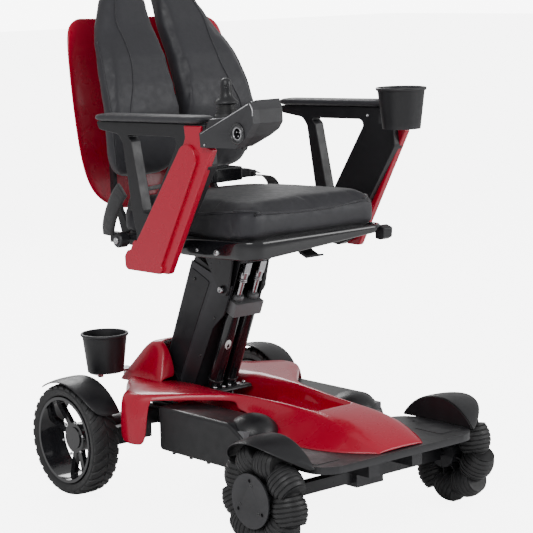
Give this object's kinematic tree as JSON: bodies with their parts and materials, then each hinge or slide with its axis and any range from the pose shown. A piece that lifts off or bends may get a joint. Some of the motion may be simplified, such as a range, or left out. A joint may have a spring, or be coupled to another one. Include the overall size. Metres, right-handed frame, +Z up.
{
  "type": "power wheelchair",
  "caption": "Power wheelchair with a red body, front omni wheels, a leaning mast that lifts and tilts the seat, flip-up armrests, a joystick pod and paired swivelling back pads.",
  "frame": {"origin": "on the ground at the centre of the footprint", "axes": "+Z up, -Y the way the chair drives, +X towards the occupant's left"},
  "size_m": [0.656, 0.94, 1.192],
  "materials": {
    "red_gloss": "gloss",
    "black_satin": "satin",
    "black_gloss": "gloss",
    "frame_black": "satin",
    "mast_grey": "satin",
    "collar_grey": "matte",
    "steel": "brushed",
    "rubber_black": "matte",
    "tyre_black": "matte",
    "leatherette": "satin",
    "webbing": "woven",
    "battery_grey": "matte"
  },
  "bodies": {
    "base": {"chassis_frame": "frame_black", "body_shell": "red_gloss", "battery_case_right": "black_satin", "battery_case_left": "black_satin", "battery_pack_right": "battery_grey", "battery_pack_left": "battery_grey", "drive_controller": "collar_grey", "drive_motor_right": "frame_black", "drive_motor_left": "frame_black", "rear_fender_right": "black_satin", "rear_fender_left": "black_satin", "front_fender_right": "black_satin", "front_fender_left": "black_satin", "front_axle_beam": "frame_black", "footplate": "black_satin", "mast_base": "frame_black", "lower_mast": "mast_grey", "lift_cylinder_right": "black_gloss", "lift_cylinder_left": "black_gloss", "cylinder_collar": "collar_grey", "rear_cup_bracket": "steel", "rear_cup": "black_satin"},
    "rear_wheel_right": {"rear_tyre_right": "tyre_black", "rear_rim_right": "black_gloss", "hub_cap_right": "black_gloss"},
    "rear_wheel_left": {"rear_tyre_left": "tyre_black", "rear_rim_left": "black_gloss", "hub_cap_left": "black_gloss"},
    "front_wheel_right": {"omni_hub_right": "frame_black", "omni_rollers_right": "rubber_black", "omni_cover_right": "black_satin"},
    "front_wheel_left": {"omni_hub_left": "frame_black", "omni_rollers_left": "rubber_black", "omni_cover_left": "black_satin"},
    "lift": {"upper_mast": "frame_black", "lift_rod_right": "steel", "lift_rod_left": "steel"},
    "seat": {"seat_bracket": "frame_black", "seat_frame": "frame_black", "seat_cushion": "leatherette", "lap_belt": "webbing", "belt_anchor": "webbing"},
    "lever": {"seat_lever": "black_satin"},
    "back": {"back_bracket": "frame_black", "back_shell": "red_gloss"},
    "pad_right": {"back_pad_right": "leatherette"},
    "pad_left": {"back_pad_left": "leatherette"},
    "armrest_right": {"armrest_frame_right": "black_satin", "armrest_cover_right": "red_gloss", "armrest_pad_right": "leatherette", "control_pod": "black_satin"},
    "armrest_left": {"armrest_frame_left": "black_satin", "armrest_cover_left": "red_gloss", "armrest_pad_left": "leatherette", "armrest_cup": "black_satin"},
    "gimbal": {"joystick_gimbal": "steel"},
    "stick": {"joystick_stick": "black_satin", "joystick_boot": "rubber_black"},
    "power_key": {"power_button": "battery_grey"},
    "horn_key": {"horn_button": "battery_grey"}
  },
  "joints": [
    {"name": "rear_wheel_spin_right", "type": "hinge", "parent": "base", "child": "rear_wheel_right", "pos_m": [-0.289, 0.337, 0.133], "axis": [1, 0, 0], "continuous": true},
    {"name": "front_wheel_spin_right", "type": "hinge", "parent": "base", "child": "front_wheel_right", "pos_m": [-0.282, -0.334, 0.118], "axis": [1, 0, 0], "continuous": true},
    {"name": "rear_wheel_spin_left", "type": "hinge", "parent": "base", "child": "rear_wheel_left", "pos_m": [0.289, 0.337, 0.133], "axis": [1, 0, 0], "continuous": true},
    {"name": "front_wheel_spin_left", "type": "hinge", "parent": "base", "child": "front_wheel_left", "pos_m": [0.282, -0.334, 0.118], "axis": [1, 0, 0], "continuous": true},
    {"name": "seat_lift", "type": "slide", "parent": "base", "child": "lift", "axis": [0, -0.3955, 0.9184], "range_m": [-0.03, 0.1]},
    {"name": "seat_tilt", "type": "hinge", "parent": "lift", "child": "seat", "pos_m": [0, 0.058, 0.488], "axis": [-1, 0, 0], "range_deg": [-3, 12]},
    {"name": "tilt_release", "type": "hinge", "parent": "seat", "child": "lever", "pos_m": [0.045, -0.092, 0.602], "axis": [-1, 0, 0], "range_deg": [0, 12], "stiffness_Nm_per_rad": 1.5, "springref_deg": -8.59},
    {"name": "back_recline", "type": "hinge", "parent": "seat", "child": "back", "pos_m": [0, 0.289, 0.604], "axis": [-1, 0, 0], "range_deg": [-8, 15]},
    {"name": "pad_swivel_right", "type": "hinge", "parent": "back", "child": "pad_right", "pos_m": [-0.11, 0.316, 0.87], "axis": [0, 0, 1], "range_deg": [-4, 3]},
    {"name": "pad_swivel_left", "type": "hinge", "parent": "back", "child": "pad_left", "pos_m": [0.11, 0.316, 0.87], "axis": [0, 0, -1], "range_deg": [-4, 3]},
    {"name": "armrest_flip_right", "type": "hinge", "parent": "seat", "child": "armrest_right", "pos_m": [-0.274, 0.08, 0.592], "axis": [-1, 0, 0], "range_deg": [0, 60]},
    {"name": "armrest_flip_left", "type": "hinge", "parent": "seat", "child": "armrest_left", "pos_m": [0.274, 0.08, 0.592], "axis": [-1, 0, 0], "range_deg": [0, 60]},
    {"name": "joystick_roll", "type": "hinge", "parent": "armrest_right", "child": "gimbal", "pos_m": [-0.263, -0.222, 0.902], "axis": [0, 1, 0], "range_deg": [-15, 15], "stiffness_Nm_per_rad": 1},
    {"name": "joystick_pitch", "type": "hinge", "parent": "gimbal", "child": "stick", "pos_m": [-0.263, -0.222, 0.902], "axis": [1, 0, 0], "range_deg": [-15, 15], "stiffness_Nm_per_rad": 1, "deforming": ["joystick_boot"]},
    {"name": "power_press", "type": "slide", "parent": "armrest_right", "child": "power_key", "axis": [0, 0, -1], "range_m": [0, 0.0015], "stiffness_N_per_m": 300, "springref_m": -0.001},
    {"name": "horn_press", "type": "slide", "parent": "armrest_right", "child": "horn_key", "axis": [0, 0, -1], "range_m": [0, 0.0015], "stiffness_N_per_m": 300, "springref_m": -0.001}
  ]
}
